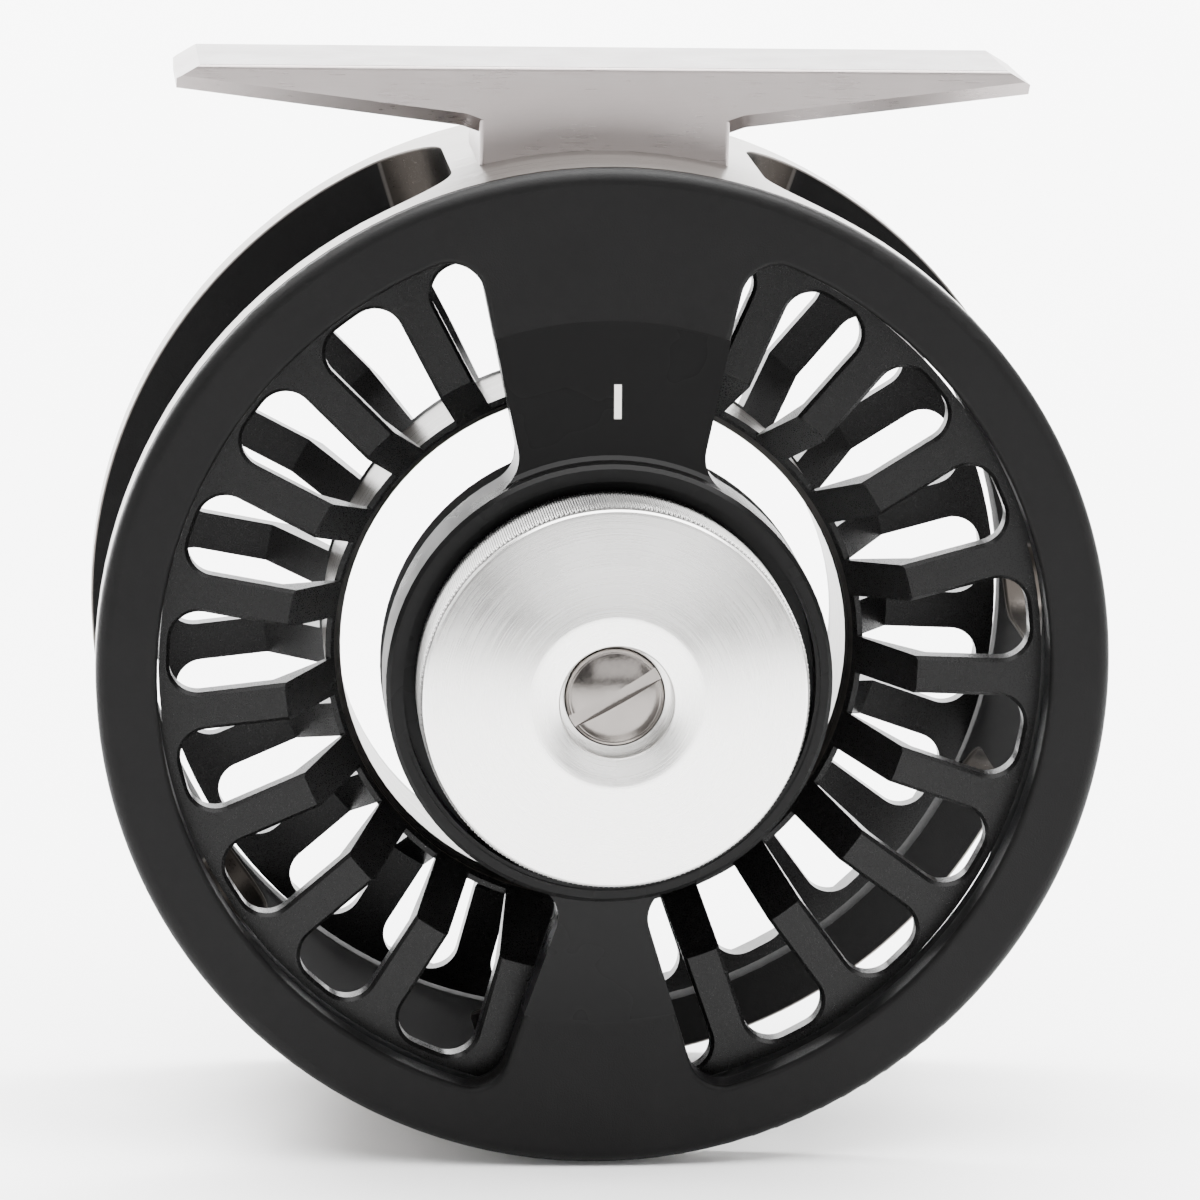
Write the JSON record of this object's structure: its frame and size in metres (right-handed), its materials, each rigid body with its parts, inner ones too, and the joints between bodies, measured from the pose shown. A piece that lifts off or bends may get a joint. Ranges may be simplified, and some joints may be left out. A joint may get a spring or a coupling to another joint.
{
  "type": "fly reel",
  "caption": "Fly fishing reel with ported cage and large-arbor spool, front disc drag knob, flat reel foot, rear handle and counterweight.",
  "frame": {"origin": "middle of the foot's flat top face, where it meets the rod's reel seat", "axes": "+Z out of the foot's top, +X along the foot, +Y along the spin axis from the drag knob to the handle"},
  "size_m": [0.085, 0.0656, 0.0919],
  "materials": {
    "black_anodised": "satin",
    "foot_aluminium": "satin",
    "knob_aluminium": "satin",
    "steel": "satin",
    "nickel_steel": "polished",
    "spring_steel": "satin",
    "friction_composite": "matte",
    "rubber": "matte",
    "bronze": "satin",
    "black_brass": "satin",
    "handle_plastic": "matte",
    "white_plastic": "matte"
  },
  "bodies": {
    "cage": {"frame_cage": "black_anodised", "reel_foot": "foot_aluminium", "foot_screws": "steel", "spindle": "steel", "spindle_nut": "steel", "drag_cover": "black_anodised", "rear_friction_disc": "friction_composite", "cover_screws": "steel", "cover_seal": "rubber", "neck_seal": "rubber", "pawl_pin": "steel", "click_spring": "spring_steel", "knob_screw": "nickel_steel", "core_sleeve": "bronze"},
    "knob": {"drag_knob": "knob_aluminium", "detent_ball": "steel", "detent_spring": "spring_steel"},
    "pressure": {"thrust_plate": "steel", "push_pins": "steel", "pressure_plate": "steel", "front_friction_disc": "friction_composite", "drag_springs": "spring_steel"},
    "rotor": {"drag_rotor": "steel", "roller_clutch": "steel", "click_gear": "bronze"},
    "pawl": {"click_pawl": "steel"},
    "cap": {"spool_cap": "knob_aluminium"},
    "spool": {"spool": "black_anodised", "clutch_sleeve": "steel", "front_bearing": "steel", "rear_bearing": "steel", "retaining_ring": "spring_steel", "handle_post": "steel", "handle_washer": "white_plastic", "handle_screw": "nickel_steel", "counterweight": "black_brass", "counterweight_screw": "steel"},
    "handle": {"handle_knob": "handle_plastic"}
  },
  "joints": [
    {"name": "drag_knob_turn", "type": "hinge", "parent": "cage", "child": "knob", "pos_m": [0, -0.0183, -0.04945], "axis": [0, 1, 0], "range_deg": [0, 300]},
    {"name": "pressure_slide", "type": "slide", "parent": "cage", "child": "pressure", "axis": [0, 1, 0], "range_m": [0, 0.0002], "deforming": ["drag_springs"]},
    {"name": "cap_removal", "type": "slide", "parent": "cage", "child": "cap", "axis": [0, 1, 0], "range_m": [0, 0.02]},
    {"name": "spool_spin", "type": "hinge", "parent": "cage", "child": "spool", "pos_m": [0, -0.0183, -0.04945], "axis": [0, 1, 0], "continuous": true},
    {"name": "rotor_spin", "type": "hinge", "parent": "cage", "child": "rotor", "pos_m": [0, -0.0183, -0.04945], "axis": [0, 1, 0], "continuous": true},
    {"name": "handle_spin", "type": "hinge", "parent": "spool", "child": "handle", "pos_m": [-0.00135, -0.0183, -0.01848], "axis": [0, 1, 0], "continuous": true},
    {"name": "pawl_swing", "type": "hinge", "parent": "cage", "child": "pawl", "pos_m": [0.007, -0.0183, -0.06157], "axis": [0, 1, 0], "range_deg": [-6, 6], "stiffness_Nm_per_rad": 0.01}
  ],
  "couplings": [
    {"joint": "pressure_slide", "follows": "drag_knob_turn", "m_per_rad": 0.000038197},
    {"joint": "rotor_spin", "follows": "spool_spin", "ratio": 1}
  ]
}
